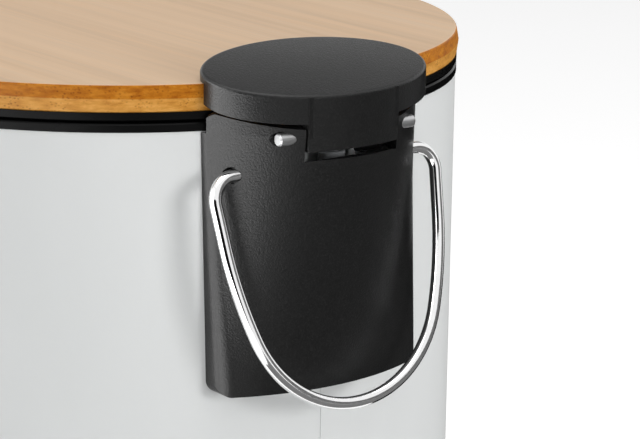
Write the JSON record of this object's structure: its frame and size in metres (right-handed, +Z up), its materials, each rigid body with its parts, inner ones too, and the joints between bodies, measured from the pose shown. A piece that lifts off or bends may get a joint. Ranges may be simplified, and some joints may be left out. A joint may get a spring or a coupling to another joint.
{
  "type": "pedal bin",
  "caption": "Small round pedal bin: white steel body, bamboo lid on a covered rear hinge with soft close, wire carry handle and a lift-out bucket.",
  "frame": {"origin": "floor level under the middle of the bin's outline, on the axis of its round body", "axes": "+Z up, +Y towards the hinge and the carry handle, -Y towards the pedal, X across along the hinge pin"},
  "size_m": [0.1724, 0.2064, 0.2544],
  "materials": {
    "white_steel": "smooth white powder coat",
    "bamboo": "fine grained bamboo, clear oiled",
    "gloss_black": "smooth glossy moulding",
    "black_plastic": "fine spark texture",
    "chrome_wire": "polished plating",
    "steel": "zinc plated",
    "grey_plastic": "plain moulding",
    "bucket_plastic": "satin moulding",
    "rubber": "soft matt"
  },
  "bodies": {
    "bin": {"base_plate": "steel", "base_ring": "black_plastic", "base_screws": "steel", "body_shell": "white_steel", "bracket_rivets": "steel", "damper_cradle": "grey_plastic", "damper_cylinder": "grey_plastic", "hinge_housing": "black_plastic", "hinge_pin": "steel", "housing_backplate": "steel", "housing_screws": "steel", "non_slip_feet": "rubber", "pedal_bracket": "steel", "pedal_pivot_pin": "steel", "rod_guides": "grey_plastic", "top_collar": "gloss_black"},
    "lid": {"hinge_cap": "black_plastic", "lid_bottom_ply": "bamboo", "lid_bumpers": "rubber", "lid_rim": "gloss_black", "lid_rim_screws": "steel", "lid_screws": "steel", "lid_top_ply": "bamboo"},
    "pedal": {"pedal_lever": "steel", "pedal_pad": "black_plastic"},
    "rod": {"push_rod": "steel", "push_rod_shoe": "grey_plastic"},
    "damper": {"damper_rod": "steel"},
    "handle": {"carry_handle": "chrome_wire", "handle_retainers": "steel"},
    "bucket": {"inner_bucket": "bucket_plastic"},
    "bucket_bail": {"bucket_handle": "steel"}
  },
  "joints": [
    {"name": "lid_open", "type": "hinge", "parent": "bin", "child": "lid", "pos_m": [0, 0.094, 0.2372], "axis": [-1, 0, 0], "range_deg": [0, 80]},
    {"name": "pedal_press", "type": "hinge", "parent": "bin", "child": "pedal", "pos_m": [0, 0.02, 0.017], "axis": [1, 0, 0], "range_deg": [0, 5.9]},
    {"name": "rod_lift", "type": "slide", "parent": "bin", "child": "rod", "axis": [0, 0, 1], "range_m": [0, 0.0063]},
    {"name": "damper_stroke", "type": "slide", "parent": "bin", "child": "damper", "axis": [0, 0, 1], "range_m": [0, 0.0046]},
    {"name": "carry_handle_swing", "type": "hinge", "parent": "bin", "child": "handle", "pos_m": [0, 0.0863, 0.2284], "axis": [1, 0, 0], "range_deg": [0, 114]},
    {"name": "bucket_lift", "type": "slide", "parent": "bin", "child": "bucket", "axis": [0, 0, 1], "range_m": [0, 0.004]},
    {"name": "bucket_handle_raise", "type": "hinge", "parent": "bucket", "child": "bucket_bail", "pos_m": [0, 0, 0.22935], "axis": [-1, 0, 0], "range_deg": [0, 4]}
  ],
  "couplings": [
    {"joint": "pedal_press", "follows": "lid_open", "ratio": 0.072254},
    {"joint": "rod_lift", "follows": "lid_open", "m_per_rad": 0.0044},
    {"joint": "damper_stroke", "follows": "lid_open", "m_per_rad": 0.0032}
  ]
}
